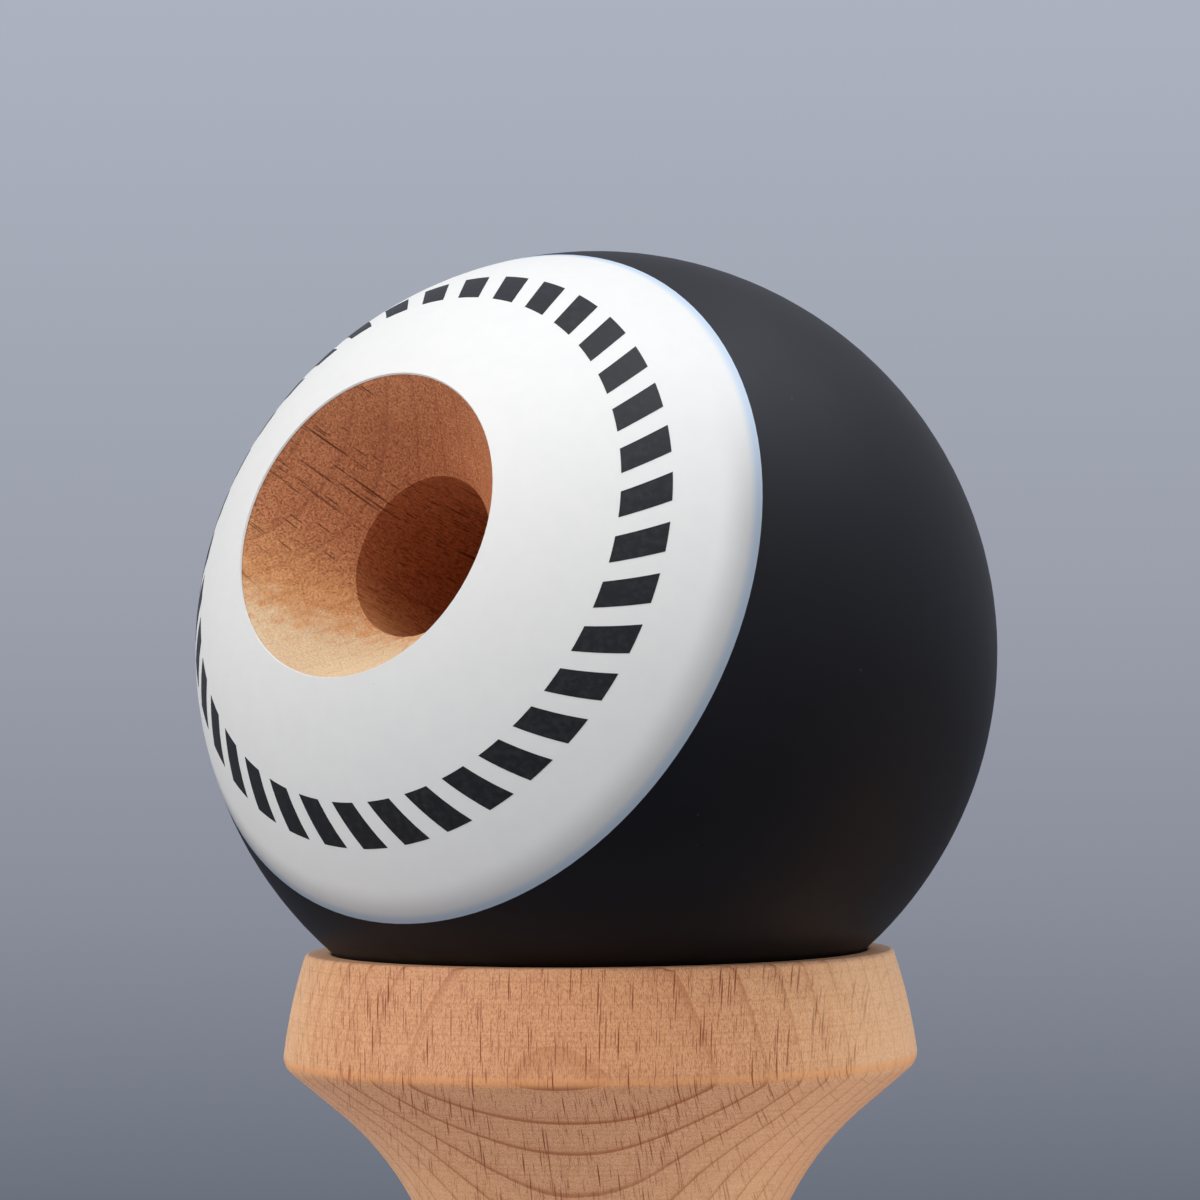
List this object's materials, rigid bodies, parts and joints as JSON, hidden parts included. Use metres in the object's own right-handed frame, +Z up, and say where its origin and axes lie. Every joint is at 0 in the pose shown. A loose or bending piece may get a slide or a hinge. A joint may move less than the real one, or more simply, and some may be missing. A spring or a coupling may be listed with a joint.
{
  "type": "kendama",
  "caption": "Turned wooden kendama: a cross piece with a cup at each end, a handle with a base cup and a spike, and a painted ball with a bevelled bore, seated in the big cup.",
  "frame": {"origin": "centre of the small cup's rim, on the surface that the kendama stands on", "axes": "+Z up along the cross piece's axis towards the big cup, +X along the handle towards the base cup, -Y towards the front"},
  "size_m": [0.168, 0.06, 0.1224],
  "materials": {
    "beech": "bare sanded beech",
    "ball_wood": "bare drilled beech",
    "white_paint": "satin paint",
    "black_rubber_paint": "matte tacky paint"
  },
  "bodies": {
    "cross": {"cross_piece": "beech"},
    "handle": {"handle": "beech"},
    "ball": {"ball_core": "ball_wood", "ball_cap": "white_paint", "ball_coat": "black_rubber_paint"}
  },
  "joints": [
    {"name": "ball_lift", "type": "slide", "parent": "cross", "child": "ball", "axis": [0, 0, 1], "range_m": [0, 0.08]},
    {"name": "handle_pull", "type": "slide", "parent": "cross", "child": "handle", "axis": [1, 0, 0], "range_m": [0, 0.075]}
  ]
}
